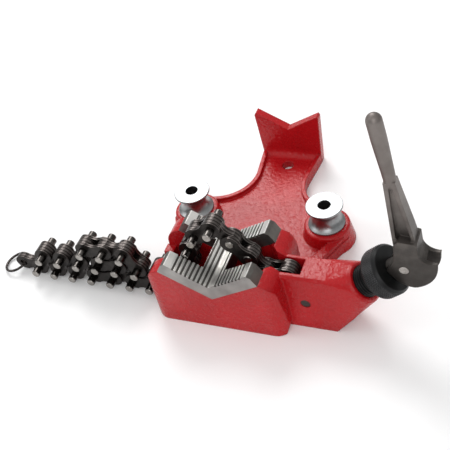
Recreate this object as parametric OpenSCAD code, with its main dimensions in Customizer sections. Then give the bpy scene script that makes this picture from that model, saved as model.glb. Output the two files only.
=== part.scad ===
// Bench chain pipe vise: cast base with a V jaw, leaf chain, screw sleeve and cam lever.
// The pipe lies along Y in the two Vs. +X points to the lever, +Z is up.
// Origin: underside of the base, below the V, on the middle plane of the chain.

/* [Base casting] */
// Thickness of the flat web between the bosses and the rear rest
web_t = 6; // [5:0.5:8]
// Height of the raised rim along the edges of the web
rim_h = 9; // [8:0.5:11]
// Width of the raised rim
rim_w = 3; // [2.5:0.5:4]
// Half width of the web at its waist
waist_half = 20.5; // [18:0.5:22]
// Distance from the chain's plane to the front face of the rear pipe rest
rest_y = 145.5; // [140:0.5:150]
// Thickness of the rear pipe rest
rest_t = 6.5; // [5:0.5:8]
// Height of the tips of the rear pipe rest
rest_h = 46; // [42:1:50]
// Half width of the V of the rear rest at its tips
rest_half = 24.5; // [22:0.5:26]
// Distance from the chain's plane to the rear bench-bolt hole
rear_hole_y = 133; // [130:0.5:135]
// Diameter of the rear bench-bolt hole
rear_hole_d = 9.2; // [8:0.1:10]

/* [Rollers] */
// Half of the distance between the two rollers
roller_x = 51; // [50:0.5:52]
// Distance from the chain's plane to the roller axes
roller_y = 67.5; // [66:0.5:69]
// Diameter of the flanges of the spool-shaped rollers
roller_d = 26.5; // [24:0.5:28]
// Height of a roller
roller_h = 18; // [16:0.5:20]
// Diameter of a roller at its waist
roller_waist_d = 17.5; // [15:0.5:19]
// Diameter of the through holes of the rollers and their bosses
bolt_d = 9.4; // [8:0.1:10]
// Height of the bosses under the rollers
boss_h = 15.5; // [14:0.5:17]

/* [Jaw] */
// Width of the vise across both walls, along the pipe
block_w = 51; // [50:0.5:54]
// Clear gap between the walls, in which the chain runs
gap_w = 25.6; // [25.2:0.2:26]
// Height of the bottom of the V seat in the casting
seat_z = 29.3; // [28.5:0.1:30]
// Half width of the V seat
seat_half = 35.2; // [34:0.2:36]
// Thickness of the jaw, square to the slopes of the V
jaw_t = 10.4; // [9:0.2:11]
// Distance from tooth to tooth on the slopes of the jaw
tooth = 3.1; // [2.4:0.1:3.6]
// Width of the plain strip beside the bottom of the V
land_w = 5; // [3:0.5:7]

/* [Screw and cam lever] */
// Tilt of the draw rod's axis above the horizontal
axis_tilt = 41.5; // [41:0.1:42]
// Outer diameter of the casting's threaded nose
nose_d = 28.2; // [27:0.2:30]
// Outer diameter of the sleeve's thread
thread_d = 21.4; // [20:0.2:22]
// Diameter of the knurled head of the sleeve
head_d = 32.4; // [30:0.2:34]
// Length of the knurled head
head_l = 13; // [11:0.5:14]
// Length of thread that stands out of the nose
thread_out = 11.5; // [9:0.5:13]
// Diameter of the draw rod
rod_d = 12.4; // [12:0.1:12.6]
// Distance from the lever's pin to the flat of its cam
cam_flat = 11.2; // [11:0.1:11.4]
// Growth of the cam for each radian that the lever turns
cam_rise = 3.5; // [3:0.1:3.6]
// Width of the cam head across both cheeks
cam_w = 16; // [15:0.5:18]
// Height of the tip of the handle above the lever's pin
handle_h = 112; // [100:1:120]

/* [Chain] */
// Distance between neighbouring chain pins
pitch = 15.875; // [15.875]
// Thickness of a chain plate
plate_t = 2.4; // [2.3:0.05:2.45]
// Height of a plate at its eyes
plate_h = 13; // [12.6:0.1:13]
// Height of a plate at its waist
waist_h = 9.4; // [9:0.2:10]
// Diameter of a chain pin
pin_d = 5.96; // [5.5:0.02:6]
// Length of the pins that stand out on both sides
long_pin = 24.4; // [22:0.2:24.6]
// Length of the pins that are flush with the plates
flush_pin = 10.8; // [10.4:0.1:11.4]

/* [Fits] */
// Radial clearance of shafts and pins that turn or slide in a bore
running = 0.05; // [0.03:0.01:0.08]
// Gap between neighbouring plates of the chain
plate_gap = 0.1; // [0.05:0.05:0.15]
// Gap between the cam and the face of the sleeve
cam_gap = 0.3; // [0.3:0.05:0.5]

/* [Hidden] */
$fn = 64;
eps = 0.01;
v_slope = 30;
half = block_w / 2;
gap_half = gap_w / 2;
rest_foot = 23.5;

// Arm and nose, in the plane of the chain
arm_top = 44.5;
arm_half_top = 10.2;
arm_half_bottom = 13.7;
slot_half = 6.6;
bridge_half = 7.6;
slot_end = 57;
floor_t = 8;
shoulder_h = 12.5;
nose_x = 97.7;
nose_z = 39.2;
nose_bevel = 1.4;
guide_x = 59.3;
guide_z = 22;
guide_d = 6.5;

// Screws that hold the jaw, from below
screw_d = 6;
screw_head_d = 10;
screw_sink = 8;
screw_tip = 36.5;

// Stations along the draw rod's axis, measured from the face of the nose
thread_in = 10;
head_at = thread_out;
disc_at = thread_out + head_l;
cam_pin_at = disc_at + cam_gap + cam_flat;
anchor_at = -24.1;
tongue_t = 7.5;
tang_t = 4.8;
cam_pin_d = 6;

// Height of the neck between the lever's shank and its grip
neck = 66;

// Chain: the heading of each link, from the anchor on the rod to the loose end.
// Every second link is an outer one, with two pins pressed into its plates.
slack_run = [222.6, 193.5, 120.2, 81.6];
over_jaw = [183.9, 124.6, 132.4, 132.9, 212.7, 240.6];
down_gap = [256.7, 224.1, 191.7, 240];
pile_run = [180, 180, 180];
fold_back = [60, 0, 0];
fold_over = [120, 180, 180, 240];
zigzag = [240, 120, 240, 120, 240];
tail = [180];
headings = concat(slack_run, over_jaw, down_gap, pile_run, fold_back, fold_over, zigzag, tail);
links = len(headings);
first_long = 9;

// ---------- helpers ----------

// Places children on the draw rod's axis, at station s, with +Z outward and +Y kept
module on_axis(s) {
    translate([nose_x + s * cos(axis_tilt), 0, nose_z + s * sin(axis_tilt)])
        rotate([0, 90 - axis_tilt, 0])
            children();
}

// Extrudes an outline drawn in X and Z along Y, from y0 to y1
module along_y(y0, y1) {
    translate([0, y1, 0])
        rotate([90, 0, 0])
            linear_extrude(y1 - y0)
                children();
}

// Points of an arc
function arc(cx, cy, r, a0, a1, n = 10) =
    [for (i = [0 : n]) let (a = a0 + (a1 - a0) * i / n) [cx + r * cos(a), cy + r * sin(a)]];

function seat_at(x) = seat_z + abs(x) * tan(v_slope);

module both_sides() {
    children();
    mirror([1, 0, 0]) children();
}

// ---------- base casting ----------

// Plan of the web, drawn in by the distance e from its edge
module web_plan(e) {
    flare_r = 30;
    flare_x = waist_half + flare_r;
    flare_y = 117;
    front_y = 20;
    side_x = roller_x + 17;
    difference() {
        union() {
            // the tongue that widens to the rear rest, then the body of the plate
            polygon([
                [-waist_half + e, 80], [waist_half - e, 80], [waist_half - e, flare_y + 1],
                [rest_foot - e, rest_y], [-rest_foot + e, rest_y], [-waist_half + e, flare_y + 1]
            ]);
            translate([-flare_x, roller_y]) square([2 * flare_x, flare_y - roller_y - 0.5]);
            translate([-side_x, front_y]) square([2 * side_x, roller_y - front_y]);
        }
        both_sides() {
            translate([flare_x, flare_y]) circle(r = flare_r + e);
            polygon([
                [48.5 - e, front_y - eps], [68.5 - e, 62], [side_x + 1, 62], [side_x + 1, front_y - eps]
            ]);
        }
    }
}

module web() {
    difference() {
        linear_extrude(rim_h) web_plan(0);
        translate([0, 0, web_t]) linear_extrude(rim_h) intersection() {
            web_plan(rim_w);
            translate([-roller_x, half + 6]) square([2 * roller_x, rest_y - half - 6]);
        }
    }
}

// Boss under a roller, turned with a round upper edge
module boss() {
    foot_r = 19.3;
    top_r = 16.6;
    edge_r = 1.8;
    translate([roller_x, roller_y, 0])
        rotate_extrude()
            polygon(concat(
                [[0, 0], [foot_r, 0]],
                arc(top_r - edge_r, boss_h - edge_r, edge_r, 10, 90, 6),
                [[0, boss_h]]
            ));
}

// Raised shoulder that joins a boss to the end of the front wall
module shoulder() {
    wall_x = 46.5;
    outer_edge = [[wall_x + 3.7, half - 2], [roller_x + 14.5, 58], [roller_x + 15.5, roller_y]];
    inner_edge = [[roller_x + 1, roller_y], [roller_x + 5.5, 53], [wall_x, half + 8]];
    translate([0, 0, web_t - 1])
        linear_extrude(shoulder_h - web_t + 1)
            polygon(concat([[wall_x, half - 2]], outer_edge, inner_edge));
}

module rear_rest() {
    tip_drop = 1.8;
    tip_half = rest_half + 1.2;
    fillet_r = 6;
    fillet_half = rest_foot - 1.5;
    along_y(rest_y, rest_y + rest_t)
        polygon([
            [-rest_foot, 0], [rest_foot, 0], [tip_half, rest_h - tip_drop], [rest_half, rest_h],
            [0, rest_h - rest_half * tan(v_slope)],
            [-rest_half, rest_h], [-tip_half, rest_h - tip_drop]
        ]);
    difference() {
        translate([-fillet_half, rest_y - fillet_r, web_t - 1])
            cube([2 * fillet_half, fillet_r + 1, fillet_r + 1]);
        translate([0, rest_y - fillet_r, web_t + fillet_r])
            rotate([0, 90, 0]) cylinder(r = fillet_r, h = 60, center = true);
    }
}

// Side view of the two walls that carry the jaw
module wall_side() {
    top_r = 13;
    top = arc(-33, seat_at(seat_half) - top_r, top_r, 180, 105);
    left = concat([[-46.7, 0], [-48.3, 6], [-47.6, 20]], top);
    right = [for (i = [len(left) - 1 : -1 : 0]) [-left[i][0], left[i][1]]];
    polygon(concat(
        left,
        [[-seat_half, seat_at(seat_half)], [0, seat_z], [seat_half, seat_at(seat_half)]],
        right
    ));
}

// Plan of the walls, with round outer corners
module wall_plan() {
    corner_r = 10;
    end_x = 49;
    translate([-end_x, -half + corner_r]) square([2 * end_x, block_w - 2 * corner_r]);
    translate([-end_x + corner_r, -half]) square([2 * (end_x - corner_r), block_w]);
    for (sx = [-1, 1], sy = [-1, 1])
        translate([sx * (end_x - corner_r), sy * (half - corner_r)]) circle(r = corner_r);
}

module walls() {
    intersection() {
        along_y(-half, half) wall_side();
        linear_extrude(60) wall_plan();
    }
}

// Tapered arm that carries the nose
module arm() {
    edge = 1.8;
    intersection() {
        rotate([90, 0, 90])
            linear_extrude(100)
                polygon([
                    [-arm_half_bottom, 0], [arm_half_bottom, 0],
                    [arm_half_top + 0.3, arm_top - edge], [arm_half_top - 1.2, arm_top],
                    [-arm_half_top + 1.2, arm_top], [-arm_half_top - 0.3, arm_top - edge]
                ]);
        along_y(-20, 20)
            polygon([[30, 0], [79, 0], [92, 16], [98, 26], [87, arm_top], [30, arm_top]]);
    }
    hull() {
        on_axis(-12) cylinder(d = nose_d, h = 12 - nose_bevel, $fn = 32);
        on_axis(-nose_bevel)
            cylinder(d1 = nose_d, d2 = nose_d - 2 * nose_bevel, h = nose_bevel - eps, $fn = 32);
        translate([70, -arm_half_bottom, 0]) cube([9, 2 * arm_half_bottom, 1]);
        translate([70, -arm_half_top, arm_top - 4]) cube([9, 2 * arm_half_top, 3]);
    }
}

// Room for the chain between the walls, in plan
module left_gap() {
    reach = 60;
    translate([-reach, -gap_half]) square([reach - bridge_half + 0.6, gap_w]);
}

module right_gap() {
    turn_x = 24;
    turn_r = 9;
    neck_x = 38;
    polygon(concat(
        [[bridge_half - 0.6, -gap_half], [turn_x, -gap_half]],
        arc(turn_x, -gap_half - turn_r, turn_r, 90, 50, 5),
        [[neck_x, -slot_half], [slot_end, -slot_half], [slot_end, slot_half], [neck_x, slot_half]],
        arc(turn_x, gap_half + turn_r, turn_r, -50, -90, 5),
        [[turn_x, gap_half], [bridge_half - 0.6, gap_half]]
    ));
}

// Ribs at the left end that hold a pin of the pulled-up chain
module hook_ribs() {
    rib_x = -48;
    rib_w = 7;
    rib_top = 33;
    for (side = [-1, 1])
        translate([rib_x, side > 0 ? slot_half : -gap_half - 1, floor_t - 1])
            cube([rib_w, gap_half + 1 - slot_half, rib_top - floor_t + 1]);
}

module casting() {
    color("firebrick")
    difference() {
        union() {
            difference() {
                union() {
                    web();
                    both_sides() {
                        boss();
                        shoulder();
                    }
                    rear_rest();
                    walls();
                    arm();
                }
                translate([0, 0, floor_t]) linear_extrude(60) left_gap();
                translate([0, 0, floor_t]) linear_extrude(60) right_gap();
                // the arm is hollow, and open below
                along_y(-slot_half, slot_half)
                    polygon([[36, -1], [80, -1], [96, 26], [86, 38], [36, 38]]);
            }
            hook_ribs();
        }
        both_sides() translate([roller_x, roller_y, -1]) cylinder(d = bolt_d, h = boss_h + 2);
        translate([0, rear_hole_y, -1]) cylinder(d = rear_hole_d, h = 20);
        on_axis(-16) cylinder(d = thread_d + 2 * running, h = 40);
        translate([guide_x, 0, guide_z])
            rotate([90, 0, 0]) cylinder(d = guide_d + 2 * running, h = 60, center = true);
        for (side = [-1, 1]) translate([0, side * (half + gap_half) / 2, 0]) {
            translate([0, 0, -1]) cylinder(d = screw_head_d + 1, h = screw_sink + 1);
            cylinder(d = screw_d + 0.6, h = 40);
        }
    }
}

module guide_pin() {
    color("dimgray")
    translate([guide_x, 0, guide_z])
        rotate([90, 0, 0]) cylinder(d = guide_d, h = 23.4, center = true);
}

// ---------- jaw ----------

// Section of one half of the jaw: slab on the slope, with grooves from start up to its end
module jaw_half(start) {
    slope_l = seat_half / cos(v_slope);
    foot = jaw_t * tan(v_slope);
    pad = 4.5;
    groove = tooth * 0.48;
    depth = 1.2;
    bevel = 1.8;
    last = floor((slope_l - foot - pad - start) / tooth) - 1;
    translate([0, seat_z]) rotate(v_slope) difference() {
        polygon([
            [0, 0], [slope_l, 0], [slope_l, jaw_t - 1.6 * bevel], [slope_l - bevel, jaw_t],
            [foot, jaw_t]
        ]);
        for (i = [0 : last])
            translate([foot + start + i * tooth, jaw_t - depth]) square([groove, depth + 1]);
    }
}

module jaw_section() {
    jaw_half(land_w);
    mirror([1, 0]) jaw_half(tooth / 4);
}

module jaw() {
    wall = half - gap_half;
    color("lightgray")
    difference() {
        union() {
            for (side = [-1, 1])
                along_y(min(side * half, side * gap_half), max(side * half, side * gap_half))
                    jaw_section();
            intersection() {
                along_y(-gap_half - eps, gap_half + eps) jaw_section();
                translate([-bridge_half, -half, 0]) cube([2 * bridge_half, block_w, 80]);
            }
        }
        for (side = [-1, 1]) translate([0, side * (half - wall / 2), seat_z - 1])
            cylinder(d = screw_d + 2 * running, h = screw_tip - seat_z + 1.3);
    }
}

module jaw_screws() {
    hex_w = 5;
    color("dimgray")
    for (side = [-1, 1]) translate([0, side * (half + gap_half) / 2, 0]) difference() {
        union() {
            translate([0, 0, screw_sink - 6]) cylinder(d = screw_head_d, h = 6);
            translate([0, 0, screw_sink - 1]) cylinder(d = screw_d, h = screw_tip - screw_sink + 1);
        }
        translate([0, 0, screw_sink - 6 - eps]) cylinder(d = hex_w / cos(30), h = 3, $fn = 6);
    }
}

// ---------- rollers ----------

module roller() {
    flange_t = 1.4;
    waist_r = roller_waist_d / 2;
    flange_r = roller_d / 2;
    // the waist is an arc through the two flange edges and the waist's middle
    rise = roller_h / 2 - flange_t;
    drop = flange_r - waist_r;
    groove_r = (rise * rise + drop * drop) / (2 * drop);
    sweep = asin(rise / groove_r);
    color("silver")
    translate([0, roller_y, boss_h])
        rotate_extrude()
            polygon(concat(
                [[bolt_d / 2, 0], [flange_r - 0.3, 0], [flange_r, 0.3]],
                arc(waist_r + groove_r, roller_h / 2, groove_r, 180 + sweep, 180 - sweep, 16),
                [[flange_r, roller_h - 0.3], [flange_r - 0.3, roller_h], [bolt_d / 2, roller_h]]
            ));
}

module roller_left() {
    translate([-roller_x, 0, 0]) roller();
}

module roller_right() {
    translate([roller_x, 0, 0]) roller();
}

// ---------- screw sleeve, rod and cam lever ----------

module sleeve() {
    thread_pitch = 2;
    depth = 1.1;
    turns = floor((thread_in + head_at) / thread_pitch) - 1;
    bevel = 1.5;
    r = thread_d / 2;
    h = head_d / 2;
    grooves = [for (i = [0 : turns], k = [0 : 3])
        [r - [0, depth, depth, 0][k], -thread_in + 1 + thread_pitch * (i + [0.15, 0.5, 0.6, 0.95][k])]];
    color("#1d1f20")
    on_axis(0)
        difference() {
            rotate_extrude()
                polygon(concat(
                    [[0, -thread_in], [r - 1, -thread_in], [r, -thread_in + 1]],
                    grooves,
                    [[r - depth, head_at - 0.2], [h - bevel, head_at], [h, head_at + bevel],
                     [h, disc_at - bevel], [h - bevel, disc_at], [0, disc_at]]
                ));
            translate([0, 0, -thread_in - 1])
                cylinder(d = rod_d + 2 * running, h = thread_in + disc_at + 2);
        }
}

module draw_rod() {
    tang_l = 9;
    flat_at = 10;
    end_r = rod_d / 2;
    color("dimgray")
    on_axis(0)
        difference() {
            union() {
                translate([0, 0, anchor_at]) cylinder(d = rod_d, h = cam_pin_at - anchor_at);
                for (s = [anchor_at, cam_pin_at]) translate([0, 0, s])
                    rotate([90, 0, 0]) cylinder(d = rod_d, h = rod_d, center = true);
            }
            for (side = [-1, 1]) {
                translate([-20, side > 0 ? tang_t / 2 : -tang_t / 2 - 20, anchor_at - 20])
                    cube([40, 20, 20 + tang_l]);
                translate([-20, side > 0 ? tongue_t / 2 : -tongue_t / 2 - 20, flat_at])
                    cube([40, 20, 60]);
            }
            translate([0, 0, anchor_at]) rotate([90, 0, 0])
                cylinder(d = pin_d + 2 * running, h = 30, center = true);
            translate([0, 0, cam_pin_at]) rotate([90, 0, 0])
                cylinder(d = cam_pin_d + 2 * running, h = 30, center = true);
        }
}

// Places children at the lever's pin, with the axes of the whole vise
module at_cam_pin() {
    translate([nose_x + cam_pin_at * cos(axis_tilt), 0, nose_z + cam_pin_at * sin(axis_tilt)])
        children();
}

// Outline of the cam cheeks: a flat, then an involute whose distance from the pin grows evenly
function cam_point(a) =
    let (
        h = cam_flat + cam_rise * a * PI / 180,
        dir = 180 + axis_tilt + a,
        n = [cos(dir), sin(dir)],
        t = [-sin(dir), cos(dir)]
    )
    h * n + cam_rise * t;

module cam_outline() {
    flat_end = 4;
    dir = 180 + axis_tilt;
    corner = cam_flat * [cos(dir), sin(dir)] - flat_end * [-sin(dir), cos(dir)];
    polygon(concat(
        [corner],
        [for (a = [0 : 8 : 128]) cam_point(a)],
        [[19.6, 6.8]],
        arc(17.5, 15.6, 9, -75, -165, 8),
        [[8.2, 22], [-2.5, 24], [-5.6, 19], [-5.8, 12], [-6.4, 6]]
    ));
}

// Lower handle: an I section that narrows to the neck, seen from the side and from behind
module shank() {
    foot = 14;
    foot_t = 11;
    neck_t = 6.6;
    web_half = 1.5;
    intersection() {
        along_y(-foot_t, foot_t)
            polygon([[-6.8, foot], [7, foot], [6.4, 30], [3.5, neck], [-3.5, neck], [-6, 30]]);
        rotate([90, 0, 90]) linear_extrude(40, center = true)
            polygon([
                [-foot_t / 2, foot], [foot_t / 2, foot], [foot_t / 2 - 1, 30],
                [neck_t / 2, neck], [-neck_t / 2, neck], [-foot_t / 2 + 1, 30]
            ]);
        difference() {
            translate([-20, -20, 0]) cube([40, 40, neck]);
            // the channels of the I section, one on each side
            for (side = [-1, 1])
                along_y(side > 0 ? web_half : -20, side > 0 ? 20 : -web_half)
                    polygon(concat(
                        [[-4.2, 25], [-3.2, 22], [4.4, 22], [4.8, 25]],
                        arc(0.1, neck - 5, 1.3, 0, 180, 6)
                    ));
        }
    }
}

module grip() {
    grip_r = 4.6;
    end = handle_h - grip_r;
    neck_r = 3.7;
    // a spindle whose radius swells from the neck to the round end
    rotate_extrude()
        polygon(concat(
            [[0, neck - 6], [neck_r - 1.2, neck - 6], [neck_r, neck - 2]],
            [[neck_r + 0.1, neck + 4], [grip_r - 0.3, end - 22], [grip_r, end - 12]],
            arc(0, end, grip_r, 0, 90, 8)
        ));
}

module handle() {
    lean = 7.9;
    rotate([0, -lean, 0]) translate([3.2, 0, 0]) {
        shank();
        grip();
    }
}

// Thickness of the cheeks: they slope away on both sides of a ridge
module cheek_taper() {
    ridge_lean = 12;
    rotate([0, -ridge_lean, 0]) linear_extrude(80, center = true)
        polygon([
            [-26, -cam_w / 2 + 3.8], [3, -cam_w / 2], [30, -cam_w / 2 + 2.6],
            [30, cam_w / 2 - 2.6], [3, cam_w / 2], [-26, cam_w / 2 - 3.8]
        ]);
}

module lever() {
    slot = tongue_t + 0.6;
    color("dimgray")
    at_cam_pin()
        difference() {
            union() {
                intersection() {
                    along_y(-cam_w / 2, cam_w / 2) cam_outline();
                    cheek_taper();
                }
                handle();
            }
            // slot for the rod's tongue
            translate([-40, -slot / 2, -40]) cube([80, slot, 48]);
            rotate([90, 0, 0]) cylinder(d = cam_pin_d + 2 * running, h = 60, center = true);
        }
}

module lever_pin() {
    color("lightgray")
    at_cam_pin() rotate([90, 0, 0]) cylinder(d = cam_pin_d, h = cam_w - 0.6, center = true);
}

// ---------- chain ----------

anchor = [nose_x + anchor_at * cos(axis_tilt), nose_z + anchor_at * sin(axis_tilt)];

// Position of chain pin i, where pin 0 is the one in the draw rod
function joint(i) =
    i == 0 ? anchor : joint(i - 1) + pitch * [cos(headings[i - 1]), sin(headings[i - 1])];

// Places children at chain pin i - 1, with +X along link i
module at_link(i) {
    p = joint(i - 1);
    translate([p[0], 0, p[1]]) rotate([0, -headings[i - 1], 0]) children();
}

// One plate: two eyes joined by a waist, drawn along +X
module plate_outline(l) {
    waist_r = 9;
    difference() {
        union() {
            circle(d = plate_h);
            translate([l, 0]) circle(d = plate_h);
            translate([0, -plate_h / 2]) square([l, plate_h]);
        }
        for (side = [-1, 1]) translate([l / 2, side * (waist_h / 2 + waist_r)]) circle(r = waist_r);
    }
}

module plate_pair(inner, hole_d, l = pitch, far_hole_d = 0) {
    y0 = plate_gap / 2 + (inner ? 0 : plate_t + plate_gap);
    difference() {
        for (side = [-1, 1])
            along_y(side > 0 ? y0 : -y0 - plate_t, side > 0 ? y0 + plate_t : -y0) plate_outline(l);
        rotate([90, 0, 0]) cylinder(d = hole_d, h = 40, center = true);
        translate([l, 0, 0]) rotate([90, 0, 0])
            cylinder(d = far_hole_d > 0 ? far_hole_d : hole_d, h = 40, center = true);
    }
}

module outer_link(i) {
    color("#2a2422") at_link(i) plate_pair(false, pin_d);
}

module inner_link(i) {
    color("#352d2a") at_link(i) plate_pair(true, pin_d + 2 * running);
}

module link_pins(i) {
    length = i < first_long ? flush_pin : long_pin;
    bevel = 0.4;
    color("silver")
    at_link(i)
        for (x = [0, pitch]) translate([x, 0, 0]) rotate([90, 0, 0]) {
            cylinder(d = pin_d, h = length - 2 * bevel, center = true);
            for (side = [0, 1]) mirror([0, 0, side]) translate([0, 0, length / 2 - bevel - eps])
                cylinder(d1 = pin_d, d2 = pin_d - 2 * bevel, h = bevel + eps);
        }
}

// The ring lies in the lower part of the last hole and slopes down to the bench
module end_ring() {
    ring_r = 9.5;
    wire = 1.9;
    seat_gap = 0.3;
    slope = 14;
    drop = (pin_d - wire) / 2 + running - seat_gap;
    end = joint(links);
    color("#2a2422")
    translate([end[0], 0, end[1] - drop]) rotate([0, -slope, 0]) translate([-ring_r, 0, 0])
        rotate_extrude() translate([ring_r, 0]) circle(d = wire, $fn = 24);
}

casting();
jaw();
jaw_screws();
guide_pin();
roller_left();
roller_right();
sleeve();
draw_rod();
lever();
lever_pin();
end_ring();
for (i = [1 : 2 : links]) outer_link(i);
for (i = [2 : 2 : links]) inner_link(i);
for (i = [1 : 2 : links]) link_pins(i);
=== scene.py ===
# %% [markdown]
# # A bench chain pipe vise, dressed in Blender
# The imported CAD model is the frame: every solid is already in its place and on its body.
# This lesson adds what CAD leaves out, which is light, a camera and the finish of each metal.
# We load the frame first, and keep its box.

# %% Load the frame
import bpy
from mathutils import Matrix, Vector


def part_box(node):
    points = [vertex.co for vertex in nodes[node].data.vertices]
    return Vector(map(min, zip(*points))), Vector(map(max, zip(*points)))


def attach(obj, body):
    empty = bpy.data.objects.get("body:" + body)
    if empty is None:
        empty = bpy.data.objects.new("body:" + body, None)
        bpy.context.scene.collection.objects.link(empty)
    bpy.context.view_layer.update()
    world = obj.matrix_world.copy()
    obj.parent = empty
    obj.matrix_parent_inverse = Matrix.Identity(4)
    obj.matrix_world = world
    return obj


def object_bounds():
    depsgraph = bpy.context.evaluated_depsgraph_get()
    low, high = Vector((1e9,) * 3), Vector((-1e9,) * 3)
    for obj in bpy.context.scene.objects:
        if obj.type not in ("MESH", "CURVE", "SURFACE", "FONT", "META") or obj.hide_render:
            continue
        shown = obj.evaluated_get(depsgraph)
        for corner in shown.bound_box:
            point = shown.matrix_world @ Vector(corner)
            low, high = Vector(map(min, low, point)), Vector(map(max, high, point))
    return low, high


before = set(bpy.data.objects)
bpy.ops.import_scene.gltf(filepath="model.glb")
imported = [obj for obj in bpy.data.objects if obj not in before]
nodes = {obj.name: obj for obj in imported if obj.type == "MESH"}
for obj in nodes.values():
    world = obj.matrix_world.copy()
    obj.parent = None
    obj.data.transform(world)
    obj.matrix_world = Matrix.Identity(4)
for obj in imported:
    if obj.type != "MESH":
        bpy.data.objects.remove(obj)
cad_box = [[float(v) for v in corner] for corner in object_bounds()]

from math import cos, pi, radians, sin

import bmesh
import bpy
from mathutils import Matrix, Vector

# %% [markdown]
# ## The camera
# The photograph was taken from the front right, from high up, with the camera rolled.
# The focal length, the two angles, the roll and the place of the view's centre come from
# a fit of the chain's pitch, the rollers and the rear rest. A constraint could aim the
# camera, but it would lose the roll, so we build its matrix from three directions. Angles
# are in degrees, and lengths in millimetres, turned to metres where they are used.

# %% Camera
PICTURE_PX = 450
SENSOR_MM = 36
FOCAL_PX = 884.9
AZIMUTH, ELEVATION, ROLL = 30.997, 43.702, 15.517
VIEW_X_MM, VIEW_Y_MM, DISTANCE_MM = 5.868, -51.311, 618.28


def camera_axes(azimuth, elevation, roll):
    """Right, up and backward directions of a rolled camera."""
    a, e, r = radians(azimuth), radians(elevation), radians(roll)
    back = Vector((sin(a) * cos(e), -cos(a) * cos(e), sin(e)))
    right = Vector((cos(a), sin(a), 0))
    up = back.cross(right)
    return cos(r) * right - sin(r) * up, sin(r) * right + cos(r) * up, back


right, up, back = camera_axes(AZIMUTH, ELEVATION, ROLL)
place = (-VIEW_X_MM * right - VIEW_Y_MM * up + DISTANCE_MM * back) / 1000
camera_data = bpy.data.cameras.new("camera")
camera_data.sensor_width = SENSOR_MM
camera_data.lens = FOCAL_PX / PICTURE_PX * SENSOR_MM
camera_data.clip_start = 0.01
camera = bpy.data.objects.new("camera", camera_data)
turn = Matrix((right, up, back)).transposed().to_4x4()
camera.matrix_world = Matrix.Translation(place) @ turn
bpy.context.scene.collection.objects.link(camera)
bpy.context.scene.camera = camera
print(f"camera at {[round(v, 3) for v in place]} m, {camera_data.lens:.1f} mm lens")

# %% [markdown]
# ## Colours and nodes
# Colours are written as sRGB hex values, as a paint chart gives them. Blender's shaders
# want linear light, so one function turns them. A second function adds one node with its
# settings, its fixed values and its links, which keeps each recipe short to read. A colour
# ramp also takes stops, each of which is a position and a colour.

# %% Helpers for colours and nodes
def linear(hex_colour):
    """An sRGB hex colour as linear red, green, blue and alpha."""
    parts = [int(hex_colour[i:i + 2], 16) / 255 for i in (0, 2, 4)]
    parts = [c / 12.92 if c <= 0.04045 else ((c + 0.055) / 1.055) ** 2.4 for c in parts]
    return (*parts, 1.0)


def add(tree, kind, inputs=None, stops=(), **settings):
    """Adds a node; inputs maps socket names to values or to other sockets."""
    node = tree.nodes.new(kind)
    for name, value in settings.items():
        setattr(node, name, value)
    for name, value in (inputs or {}).items():
        socket = node.inputs[name]
        if isinstance(value, bpy.types.NodeSocket):
            tree.links.new(value, socket)
        else:
            socket.default_value = value
    for i, (position, colour) in enumerate(stops):
        elements = node.color_ramp.elements
        stop = elements[i] if i < len(elements) else elements.new(position)
        stop.position, stop.color = position, linear(colour)
    return node


def per_mm(size_mm):
    """Scale of a texture whose features are size_mm wide, in metres of object space."""
    return 1000 / size_mm


print("helpers ready; middle grey is", round(linear("808080")[0], 3), "in linear light")

# %% [markdown]
# ## How every recipe starts and ends
# Each recipe starts with an empty material and the object's own coordinates, so that its
# pattern stays on the piece when the piece moves. It ends with one shader and its output.
# Edges are rounded in the shading only, by a bevel node under the bump. A bevel modifier
# would do it too, but costs more mesh and can break at the arcs of the castings.

# %% Helpers for materials
def start_material(name):
    """A material with an empty tree, and the object's coordinates in it."""
    material = bpy.data.materials.new(name)
    material.use_nodes = True
    tree = material.node_tree
    tree.nodes.clear()
    return material, tree, add(tree, "ShaderNodeTexCoord").outputs["Object"]


def finish_material(material, shader_inputs):
    """Adds the shader with its values and links, and the output."""
    tree = material.node_tree
    shader = add(tree, "ShaderNodeBsdfPrincipled", shader_inputs)
    add(tree, "ShaderNodeOutputMaterial", {"Surface": shader.outputs["BSDF"]})
    return material


def relief(tree, height, strength, depth_mm, round_mm, samples=4):
    """A normal with edges rounded by round_mm and a pattern depth_mm deep on it."""
    edges = add(tree, "ShaderNodeBevel", {"Radius": round_mm / 1000}, samples=samples)
    return add(tree, "ShaderNodeBump", {
        "Height": height, "Strength": strength, "Distance": depth_mm / 1000,
        "Normal": edges.outputs["Normal"]}).outputs["Normal"]


def give(material, *names):
    """Paints CAD solids with a material, in place of their plain one."""
    for name in names:
        slots = nodes[name].data.materials
        slots.clear()
        slots.append(material)


print("a recipe can start, round its edges and finish")

# %% [markdown]
# ## Red enamel on cast iron
# The base is sand-cast grey iron under one thick coat of glossy red enamel. The sand's
# grain still shows through the paint as a soft orange peel, some 3 mm wide, which breaks
# up the light on the flats, and the enamel fills each corner to a round of more than a
# millimetre. A flat red with a gloss would look like plastic, so slow clouds and rare dark
# specks vary it.
# The paint is no metal, and its index of refraction is the 1.5 of a resin.

# %% Red enamel
PEEL_MM, CLOUD_MM, SPECK_MM = 2.8, 38, 5.5


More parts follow.
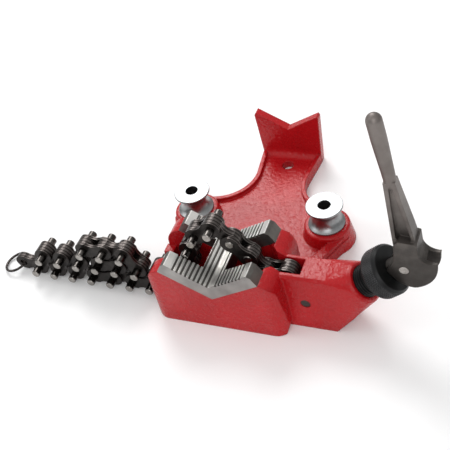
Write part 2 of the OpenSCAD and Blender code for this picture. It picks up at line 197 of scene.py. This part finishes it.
def red_enamel_on_cast_iron():
    material, tree, where = start_material("red_enamel_on_cast_iron")
    peel = add(tree, "ShaderNodeTexNoise", {
        "Vector": where, "Scale": per_mm(PEEL_MM), "Detail": 3.0,
        "Roughness": 0.55}).outputs["Fac"]
    cloud = add(tree, "ShaderNodeTexNoise", {
        "Vector": where, "Scale": per_mm(CLOUD_MM), "Detail": 2.0}).outputs["Fac"]
    speck = add(tree, "ShaderNodeTexVoronoi", {
        "Vector": where, "Scale": per_mm(SPECK_MM)}).outputs["Distance"]
    red = add(tree, "ShaderNodeValToRGB", {"Fac": cloud}, stops=[
        (0.3, "A20F15"), (0.55, "AE1319"), (0.75, "B8181F")]).outputs["Color"]
    dust = add(tree, "ShaderNodeValToRGB", {"Fac": speck}, stops=[
        (0.02, "8C161B"), (0.07, "FFFFFF")]).outputs["Color"]
    colour = add(tree, "ShaderNodeMix", {"Factor": 0.35, "A": red, "B": dust},
                 data_type="RGBA", blend_type="MULTIPLY").outputs["Result"]
    rough = add(tree, "ShaderNodeMapRange", {
        "Value": peel, "From Min": 0.3, "From Max": 0.7,
        "To Min": 0.18, "To Max": 0.32}).outputs["Result"]
    normal = relief(tree, peel, strength=0.75, depth_mm=0.8, round_mm=1.4, samples=6)
    return finish_material(material, {
        "Base Color": colour, "Roughness": rough, "Normal": normal,
        "IOR": 1.5, "Specular IOR Level": 0.3})


give(red_enamel_on_cast_iron(), "casting")
print("casting painted")

# %% [markdown]
# ## Milled tool steel for the jaw
# The V jaw is hardened tool steel, bare and bright on top. Its teeth are milled along the
# pipe, which is Y here. The cutter leaves fine lines the same way, so the texture is
# stretched along Y. They are drawn 0.9 mm wide, since real ones are too fine to show. Only
# the crests keep the bright steel: below them the grooves are painted dark, as painted shade
# with the hardening scale and old oil in it. A painted mask could hold that, but a measured
# height follows every tooth by itself. Square to the slopes of the V, the height of a point
# is z times the cosine of the slope, less the sideways distance times its sine, and all the
# crests have the same one. The two ends, which face along Y, are sawn and stay a plain
# middle grey.

# %% Measures on the jaw
SLOPE = radians(30)
CREST_MM = 35.77


def height_square_to_slope(tree, where):
    """Height of a point over the origin, square to the slopes of the V, in metres."""
    xyz = add(tree, "ShaderNodeSeparateXYZ", {"Vector": where}).outputs
    side = add(tree, "ShaderNodeMath", {0: xyz["X"]}, operation="ABSOLUTE").outputs[0]
    run = add(tree, "ShaderNodeMath", {0: side, 1: sin(SLOPE)},
              operation="MULTIPLY").outputs[0]
    rise = add(tree, "ShaderNodeMath", {0: xyz["Z"], 1: cos(SLOPE)},
               operation="MULTIPLY").outputs[0]
    return add(tree, "ShaderNodeMath", {0: rise, 1: run}, operation="SUBTRACT").outputs[0]


def faces_along_y(tree, none_at, full_at):
    """1 where the surface faces along Y, the way of the pipe and the pins, and 0 elsewhere."""
    normal = add(tree, "ShaderNodeTexCoord").outputs["Normal"]
    facing = add(tree, "ShaderNodeSeparateXYZ", {"Vector": normal}).outputs["Y"]
    either_way = add(tree, "ShaderNodeMath", {0: facing}, operation="ABSOLUTE").outputs[0]
    return add(tree, "ShaderNodeMapRange", {
        "Value": either_way, "From Min": none_at, "From Max": full_at}).outputs["Result"]


print("the crests are", CREST_MM, "mm high, square to the slopes")

# %% Jaw steel
# Depths under the crests: full painted shade with oil from the first, bright steel above the
# second.
SHADE_AND_OIL_BELOW_MM, BRIGHT_BELOW_MM = 0.7, 0.1
MILL_LINE_MM, MILL_STRETCH, STAIN_MM = 0.9, 0.06, 9


def milled_jaw_steel():
    material, tree, where = start_material("milled_jaw_steel")
    along = add(tree, "ShaderNodeMapping", {
        "Vector": where, "Scale": (1.0, MILL_STRETCH, 1.0)}).outputs["Vector"]
    lines = add(tree, "ShaderNodeTexNoise", {
        "Vector": along, "Scale": per_mm(MILL_LINE_MM), "Detail": 2.0}).outputs["Fac"]
    stain = add(tree, "ShaderNodeTexNoise", {
        "Vector": where, "Scale": per_mm(STAIN_MM), "Detail": 4.0}).outputs["Fac"]
    crest = add(tree, "ShaderNodeMapRange", {
        "Value": height_square_to_slope(tree, where),
        "From Min": (CREST_MM - SHADE_AND_OIL_BELOW_MM) / 1000,
        "From Max": (CREST_MM - BRIGHT_BELOW_MM) / 1000}).outputs["Result"]
    # The second pair of colours is the painted shade in the grooves, with scale and old oil.
    bright, groove_shade_and_oil, sawn = [
        add(tree, "ShaderNodeValToRGB", {"Fac": stain}, stops=[
            (0.3, dark), (0.7, light)]).outputs["Color"]
        for dark, light in (("CFCDC9", "EAE8E4"), ("55524F", "75726D"), ("807E7C", "9E9C99"))]
    teeth = add(tree, "ShaderNodeMix", {"Factor": crest, "A": groove_shade_and_oil, "B": bright},
                data_type="RGBA").outputs["Result"]
    ends = faces_along_y(tree, none_at=0.7, full_at=0.9)
    colour = add(tree, "ShaderNodeMix", {"Factor": ends, "A": teeth, "B": sawn},
                 data_type="RGBA").outputs["Result"]
    rough = add(tree, "ShaderNodeMapRange", {
        "Value": lines, "To Min": 0.26, "To Max": 0.46}).outputs["Result"]
    normal = relief(tree, lines, strength=0.25, depth_mm=0.3, round_mm=0.3)
    return finish_material(material, {
        "Base Color": colour, "Roughness": rough, "Normal": normal, "Metallic": 0.92})


give(milled_jaw_steel(), "jaw")
print("jaw dressed")

# %% [markdown]
# ## Zinc-plated rollers
# The two spools are turned from bar and bright zinc plated. The turning tool leaves fine
# rings around the axis, so a ring pattern is centred on each roller's own axis. Stretching
# the highlights alone would be another way, but a bump shows the rings too. Real rings are
# too fine to show, so they are drawn 5 mm apart: the wave texture turns by 20 radians for
# each unit, and here a radian takes 0.8 mm. The two rollers share one recipe.

# %% Roller plating
RADIAN_MM, RADIANS_PER_UNIT = 0.8, 20
MIST_MM = 7


def turned_bright_zinc(name, centre):
    material, tree, where = start_material(name)
    local = add(tree, "ShaderNodeMapping", {
        "Vector": where, "Location": [-c for c in centre]}).outputs["Vector"]
    rings = add(tree, "ShaderNodeTexWave", {
        "Vector": local, "Scale": per_mm(RADIAN_MM) / RADIANS_PER_UNIT, "Distortion": 0.6,
        "Detail": 2.0}, wave_type="RINGS", rings_direction="Z").outputs["Fac"]
    mist = add(tree, "ShaderNodeTexNoise", {
        "Vector": where, "Scale": per_mm(MIST_MM), "Detail": 3.0}).outputs["Fac"]
    colour = add(tree, "ShaderNodeValToRGB", {"Fac": mist}, stops=[
        (0.3, "858788"), (0.7, "A0A2A3")]).outputs["Color"]
    rough = add(tree, "ShaderNodeMapRange", {
        "Value": mist, "To Min": 0.28, "To Max": 0.42}).outputs["Result"]
    normal = relief(tree, rings, strength=0.18, depth_mm=0.2, round_mm=0.4)
    return finish_material(material, {
        "Base Color": colour, "Roughness": rough, "Normal": normal, "Metallic": 1.0})


for side in ("left", "right"):
    low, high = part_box(f"roller_{side}")
    centre = [(a + b) / 2 for a, b in zip(low, high)]
    give(turned_bright_zinc(f"turned_bright_zinc_{side}", centre), f"roller_{side}")
    print(f"roller_{side} turned about x {centre[0]:.3f}, y {centre[1]:.4f}")

# %% [markdown]
# ## Black oxide on the sleeve
# The sleeve is turned steel, blackened in a hot salt bath and oiled, so it is nearly black
# with a soft shine. The outermost crests of the knurl are painted a dark grey, which stands
# for the highlights they catch as well as the rubbing of hands. Blender can guess worn edges
# from the mesh, but that changes with its density, so the colour follows the distance from
# the draw rod's axis instead. The coordinates are first turned so that Z runs along that
# axis and starts at the nose. These lengths are in metres.

# %% Black oxide
AXIS_TILT = radians(41.5)
NOSE = Vector((0.0977, 0.0, 0.0392))
HEAD_R = 0.0162
RUBBED_AND_LIT_FROM, RUBBED_AND_LIT_FULLY = HEAD_R + 0.0001, HEAD_R + 0.0004
SLEEVE_ROUND = 0.0004
OIL_MM = 6


def distance_from_rod(tree, where):
    """Distance from the draw rod's axis, in metres."""
    turned = add(tree, "ShaderNodeMapping", {
        "Vector": where, "Location": NOSE, "Rotation": (0, pi / 2 - AXIS_TILT, 0)},
        vector_type="TEXTURE").outputs["Vector"]
    flat = add(tree, "ShaderNodeVectorMath", {0: turned, 1: (1, 1, 0)},
               operation="MULTIPLY").outputs["Vector"]
    return add(tree, "ShaderNodeVectorMath", {0: flat}, operation="LENGTH").outputs["Value"]


def black_oxide():
    material, tree, where = start_material("black_oxide")
    crest = add(tree, "ShaderNodeMapRange", {
        "Value": distance_from_rod(tree, where), "From Min": RUBBED_AND_LIT_FROM,
        "From Max": RUBBED_AND_LIT_FULLY}).outputs["Result"]
    oil = add(tree, "ShaderNodeTexNoise", {
        "Vector": where, "Scale": per_mm(OIL_MM), "Detail": 4.0}).outputs["Fac"]
    # The second pair is the crests' grey: wear, together with a painted highlight.
    black, worn_and_highlit = [
        add(tree, "ShaderNodeValToRGB", {"Fac": oil}, stops=[
            (0.35, dark), (0.7, light)]).outputs["Color"]
        for dark, light in (("0A0B0C", "151617"), ("343436", "58585A"))]
    colour = add(tree, "ShaderNodeMix", {"Factor": crest, "A": black, "B": worn_and_highlit},
                 data_type="RGBA").outputs["Result"]
    rough = add(tree, "ShaderNodeMapRange", {
        "Value": oil, "To Min": 0.28, "To Max": 0.5}).outputs["Result"]
    edges = add(tree, "ShaderNodeBevel", {"Radius": SLEEVE_ROUND}, samples=4).outputs["Normal"]
    return finish_material(material, {
        "Base Color": colour, "Roughness": rough, "Normal": edges, "Metallic": 0.5})


sleeve_black = black_oxide()
give(sleeve_black, "sleeve")
print("sleeve blackened")

# %% [markdown]
# ## The knurl
# The head of the sleeve has a diamond knurl, rolled in before blackening, so that it can be
# turned by hand. A bump would leave the outline smooth, so it is a thin band of real mesh
# that rides on the sleeve. Two sets of grooves cross, and what stands between them is a row
# of small pyramids. The height is therefore the lower one of two triangle waves, one leaning
# each way, sampled four times to a pyramid so that each peak falls on a vertex. A closed
# inner wall, hidden in the head, makes the band a solid ring. Only the width of a pyramid
# is in millimetres.

# %% Knurled band
KNURL_MM = 1.6
KNURL_HIGH = 0.0005
SAMPLES = 4
HEAD_FROM, HEAD_TO = 0.0134, 0.0226
WALL_R = HEAD_R - 0.001


def triangle(steps):
    """A triangle wave that is 1 at 0, and 0 half a period later."""
    return abs(1 - (steps % SAMPLES) * 2 / SAMPLES)


def band_radius(row, rows, i):
    """Radius at step i of a row: pyramids, flush at both ends, and the wall beyond them."""
    if row < 0 or row > rows:
        return WALL_R
    if row in (0, rows):
        return HEAD_R
    return HEAD_R + min(triangle(i + row), triangle(i - row)) * KNURL_HIGH


def knurled_band():
    count = round(2 * pi * HEAD_R * 1000 / KNURL_MM) * SAMPLES
    rows = round((HEAD_TO - HEAD_FROM) * 1000 / KNURL_MM) * SAMPLES
    axis = Vector((cos(AXIS_TILT), 0, sin(AXIS_TILT)))
    side = Vector((sin(AXIS_TILT), 0, -cos(AXIS_TILT)))
    shape = bmesh.new()
    rings = []
    for row in range(-1, rows + 2):
        along = HEAD_FROM + (HEAD_TO - HEAD_FROM) * min(max(row, 0), rows) / rows
        ring = []
        for i in range(count):
            angle = 2 * pi * i / count
            out = side * cos(angle) + Vector((0, sin(angle), 0))
            ring.append(shape.verts.new(NOSE + axis * along + out * band_radius(row, rows, i)))
        rings.append(ring)
    for low, high in zip(rings, rings[1:] + rings[:1]):
        for i in range(count):
            j = (i + 1) % count
            shape.faces.new((low[i], low[j], high[j], high[i]))
    bmesh.ops.recalc_face_normals(shape, faces=shape.faces)
    mesh = bpy.data.meshes.new("knurled_band")
    shape.to_mesh(mesh)
    shape.free()
    mesh.materials.append(sleeve_black)
    band = bpy.data.objects.new("knurled_band", mesh)
    bpy.context.scene.collection.objects.link(band)
    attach(band, "sleeve")
    return len(mesh.polygons)


print("knurl of", knurled_band(), "faces")

# %% [markdown]
# ## Forged lever and dark turned steel
# The cam lever is drop forged and left as it came from the tumbler: a dull brown grey with
# a grain of small pits. They are drawn 1.1 mm wide, since most real ones are too fine to
# show. Hands rub the grip lighter. Paint on the vertices could say where, but the height
# does it in one node, as the lever stands almost upright. The draw rod, the screws and the
# guide pin are plain steel that has darkened in oil: the same recipe, with a finer grain
# and no grip.

# %% Forged and dark steel
SCALE_MM = 12
NECK_MM, GRIP_MM = 80, 120


def rub_the_grip(tree, where, scale, colour):
    """Blends a forging's colour to a lighter one from the neck to the grip."""
    height = add(tree, "ShaderNodeSeparateXYZ", {"Vector": where}).outputs["Z"]
    grip = add(tree, "ShaderNodeMapRange", {
        "Value": height, "From Min": NECK_MM / 1000,
        "From Max": GRIP_MM / 1000}).outputs["Result"]
    rubbed = add(tree, "ShaderNodeValToRGB", {"Fac": scale}, stops=[
        (0.32, "6C6561"), (0.72, "827B77")]).outputs["Color"]
    return add(tree, "ShaderNodeMix", {"Factor": grip, "A": colour, "B": rubbed},
               data_type="RGBA").outputs["Result"]


def oiled_steel(name, dark, middle, light, pit_mm, rubbed_grip=False):
    material, tree, where = start_material(name)
    pits = add(tree, "ShaderNodeTexNoise", {
        "Vector": where, "Scale": per_mm(pit_mm), "Detail": 5.0,
        "Roughness": 0.6}).outputs["Fac"]
    scale = add(tree, "ShaderNodeTexNoise", {
        "Vector": where, "Scale": per_mm(SCALE_MM), "Detail": 3.0}).outputs["Fac"]
    colour = add(tree, "ShaderNodeValToRGB", {"Fac": scale}, stops=[
        (0.32, dark), (0.52, middle), (0.72, light)]).outputs["Color"]
    if rubbed_grip:
        colour = rub_the_grip(tree, where, scale, colour)
    rough = add(tree, "ShaderNodeMapRange", {
        "Value": pits, "To Min": 0.34, "To Max": 0.58}).outputs["Result"]
    normal = relief(tree, pits, strength=0.35, depth_mm=0.4, round_mm=0.9, samples=6)
    return finish_material(material, {
        "Base Color": colour, "Roughness": rough, "Normal": normal, "Metallic": 0.75})


give(oiled_steel("tumbled_forging", "3C3835", "474340", "57524E", pit_mm=1.1,
                 rubbed_grip=True), "lever")
give(oiled_steel("dark_turned_steel", "3A3634", "4A4643", "5A5653", pit_mm=0.6),
     "draw_rod", "jaw_screws", "guide_pin")
print("lever and rod dressed")

# %% [markdown]
# ## Blued chain plates
# The plates of a leaf chain are punched, hardened and blued, which leaves a warm black with
# an oily shine. Four plates lie side by side in 2.5 mm steps. On the rims, the gap between
# two plates is painted as a dark line of shade, and a painted highlight runs along the rim
# beside it, which is what makes a leaf chain look layered. The plates are real solids, but
# the gap between them is only 0.1 mm, too fine to show, so its painted shade is drawn about
# 0.4 mm wide. It follows Y, folded into one 2.5 mm step, and only on the rims, where the
# surface doesn't face along the pins. The grain is drawn 0.7 mm wide for the same reason.
# The end ring is wire with the same finish.

# %% Chain plates
PLATE_STEP_MM = 2.5
SMEAR_MM, GRAIN_MM = 5, 0.7


def rim_with_painted_gap_shade_and_highlight(tree, where):
    """Colour of a rim: painted shade in the gap, a painted highlight beside it, and dark again
    in the middle.
    """
    half_step = PLATE_STEP_MM / 2000
    y = add(tree, "ShaderNodeSeparateXYZ", {"Vector": where}).outputs["Y"]
    from_gap = add(tree, "ShaderNodeMath", {0: y, 1: half_step},
                   operation="PINGPONG").outputs[0]
    across = add(tree, "ShaderNodeMapRange", {
        "Value": from_gap, "From Max": half_step}).outputs["Result"]
    # The near-black stop is painted shade in the gap, and the pale one a painted highlight
    # beside it.
    return add(tree, "ShaderNodeValToRGB", {"Fac": across}, stops=[
        (0.10, "0B0A0A"), (0.26, "8C8480"), (0.42, "3A3432"),
        (1.0, "2A2624")]).outputs["Color"]


def blued_chain_plate():
    material, tree, where = start_material("blued_chain_plate")
    smear = add(tree, "ShaderNodeTexNoise", {
        "Vector": where, "Scale": per_mm(SMEAR_MM), "Detail": 4.0}).outputs["Fac"]
    grain = add(tree, "ShaderNodeTexNoise", {
        "Vector": where, "Scale": per_mm(GRAIN_MM), "Detail": 2.0}).outputs["Fac"]
    flank = add(tree, "ShaderNodeValToRGB", {"Fac": smear}, stops=[
        (0.3, "221F1E"), (0.55, "2E2A28"), (0.75, "3E3937")]).outputs["Color"]
    flanks = faces_along_y(tree, none_at=0.4, full_at=0.7)
    colour = add(tree, "ShaderNodeMix", {
        "Factor": flanks, "A": rim_with_painted_gap_shade_and_highlight(tree, where), "B": flank},
        data_type="RGBA").outputs["Result"]
    rough = add(tree, "ShaderNodeMapRange", {
        "Value": smear, "To Min": 0.24, "To Max": 0.46}).outputs["Result"]
    normal = relief(tree, grain, strength=0.15, depth_mm=0.2, round_mm=0.4)
    return finish_material(material, {
        "Base Color": colour, "Roughness": rough, "Normal": normal, "Metallic": 0.8})


plates = sorted(name for name in nodes if name.startswith(("outer_", "inner_")))
give(blued_chain_plate(), *plates, "end_ring")
print(f"{len(plates)} links blued")

# %% [markdown]
# ## Ground pins
# The pins are ground steel. Oil and dirt darken the barrel, while the riveted ends rub
# against everything and stay bright. Two materials on one pin would need its faces sorted,
# so one recipe tells the ends from the barrel by the way the surface faces. Grinding marks
# are too fine to show, and what the eye sees is a smooth gloss with smears of oil. The
# lever's pin is made in the same way.

# %% Chain pins
PIN_SMEAR_MM = 3
PIN_ROUND = 0.00025


def ground_pin_steel():
    material, tree, where = start_material("ground_pin_steel")
    smear = add(tree, "ShaderNodeTexNoise", {
        "Vector": where, "Scale": per_mm(PIN_SMEAR_MM), "Detail": 3.0}).outputs["Fac"]
    barrel, end = [
        add(tree, "ShaderNodeValToRGB", {"Fac": smear}, stops=[
            (0.3, dark), (0.7, light)]).outputs["Color"]
        for dark, light in (("3C3937", "5E5A57"), ("827E7A", "A8A49F"))]
    ends = faces_along_y(tree, none_at=0.5, full_at=0.8)
    colour = add(tree, "ShaderNodeMix", {"Factor": ends, "A": barrel, "B": end},
                 data_type="RGBA").outputs["Result"]
    rough = add(tree, "ShaderNodeMapRange", {
        "Value": smear, "To Min": 0.16, "To Max": 0.32}).outputs["Result"]
    edges = add(tree, "ShaderNodeBevel", {"Radius": PIN_ROUND}, samples=4).outputs["Normal"]
    return finish_material(material, {
        "Base Color": colour, "Roughness": rough, "Normal": edges, "Metallic": 1.0})


pins = sorted(name for name in nodes if name.startswith("pins_"))
give(ground_pin_steel(), *pins, "lever_pin")
print(f"{len(pins)} pairs of pins ground, and the lever's pin")

# %% [markdown]
# ## The floor
# The photograph is a catalogue shot on white. A curved backdrop would show its bend from
# low angles, so a wide flat sheet of pale paper takes the faint shadow. It lies just under
# the vise, so that the two surfaces never flicker into each other.

# %% Floor
FLOOR_WIDE = 12
FLOOR_BELOW = 0.0002
TONE_MM = 300


def pale_paper_floor():
    material, tree, where = start_material("pale_paper_floor")
    tone = add(tree, "ShaderNodeTexNoise", {
        "Vector": where, "Scale": per_mm(TONE_MM)}).outputs["Fac"]
    colour = add(tree, "ShaderNodeValToRGB", {"Fac": tone}, stops=[
        (0.3, "F6F6F6"), (0.7, "FAFAFA")]).outputs["Color"]
    return finish_material(material, {
        "Base Color": colour, "Roughness": 0.9, "Specular IOR Level": 0.1})


shape = bmesh.new()
bmesh.ops.create_grid(shape, x_segments=1, y_segments=1, size=FLOOR_WIDE / 2)
mesh = bpy.data.meshes.new("floor")
shape.to_mesh(mesh)
shape.free()
mesh.materials.append(pale_paper_floor())
floor = bpy.data.objects.new("floor", mesh)
floor.location.z = cad_box[0][2] - FLOOR_BELOW
bpy.context.scene.collection.objects.link(floor)
print(f"floor laid, {FLOOR_WIDE} m wide")

# %% [markdown]
# ## The lights
# A wide soft light behind the vise puts the pale sheen on the flat top of the web and the
# arm, a large one in front keeps the walls a clear red, and a weak one from the left opens
# the shadows between the links. Lamps without a size would give hard shadows, so each one
# is a round softbox of about a metre. Sizes are in metres, and powers in watts.

# %% Lights
MIDDLE = (0.0, 0.05, 0.04)


def soft_light(name, place, size, watts):
    """A round softbox that points at the middle of the vise."""
    data = bpy.data.lights.new(name, "AREA")
    data.shape = "DISK"
    data.size = size
    data.energy = watts
    lamp = bpy.data.objects.new(name, data)
    lamp.location = place
    lamp.rotation_euler = (Vector(MIDDLE) - Vector(place)).to_track_quat("-Z", "Y").to_euler()
    bpy.context.scene.collection.objects.link(lamp)


soft_light("back_softbox", place=(-0.75, 1.25, 1.5), size=1.1, watts=23)
soft_light("front_softbox", place=(0.5, -1.5, 1.3), size=1.4, watts=12)
soft_light("left_softbox", place=(-1.6, -0.4, 1.1), size=1.0, watts=6)
print("three soft lights around the vise")

# %% [markdown]
# ## The sky
# A studio's white walls fill what the lamps leave dark. A picture of a studio could do it,
# but a white sky that is dim at the horizon and brighter overhead is enough, and it gives
# the bare steel something to mirror. The Standard view keeps the colours as written.

# %% Sky
world = bpy.data.worlds.new("pale_studio")
world.use_nodes = True
sky = world.node_tree
direction = add(sky, "ShaderNodeTexCoord").outputs["Generated"]
height = add(sky, "ShaderNodeSeparateXYZ", {"Vector": direction}).outputs["Z"]
strength = add(sky, "ShaderNodeMapRange", {"Value": height, "To Min": 0.25, "To Max": 0.85})
sky.nodes["Background"].inputs["Color"].default_value = (1, 1, 1, 1)
sky.links.new(strength.outputs["Result"], sky.nodes["Background"].inputs["Strength"])
bpy.context.scene.world = world
bpy.context.scene.view_settings.view_transform = "Standard"
print("a pale sky, brighter overhead")
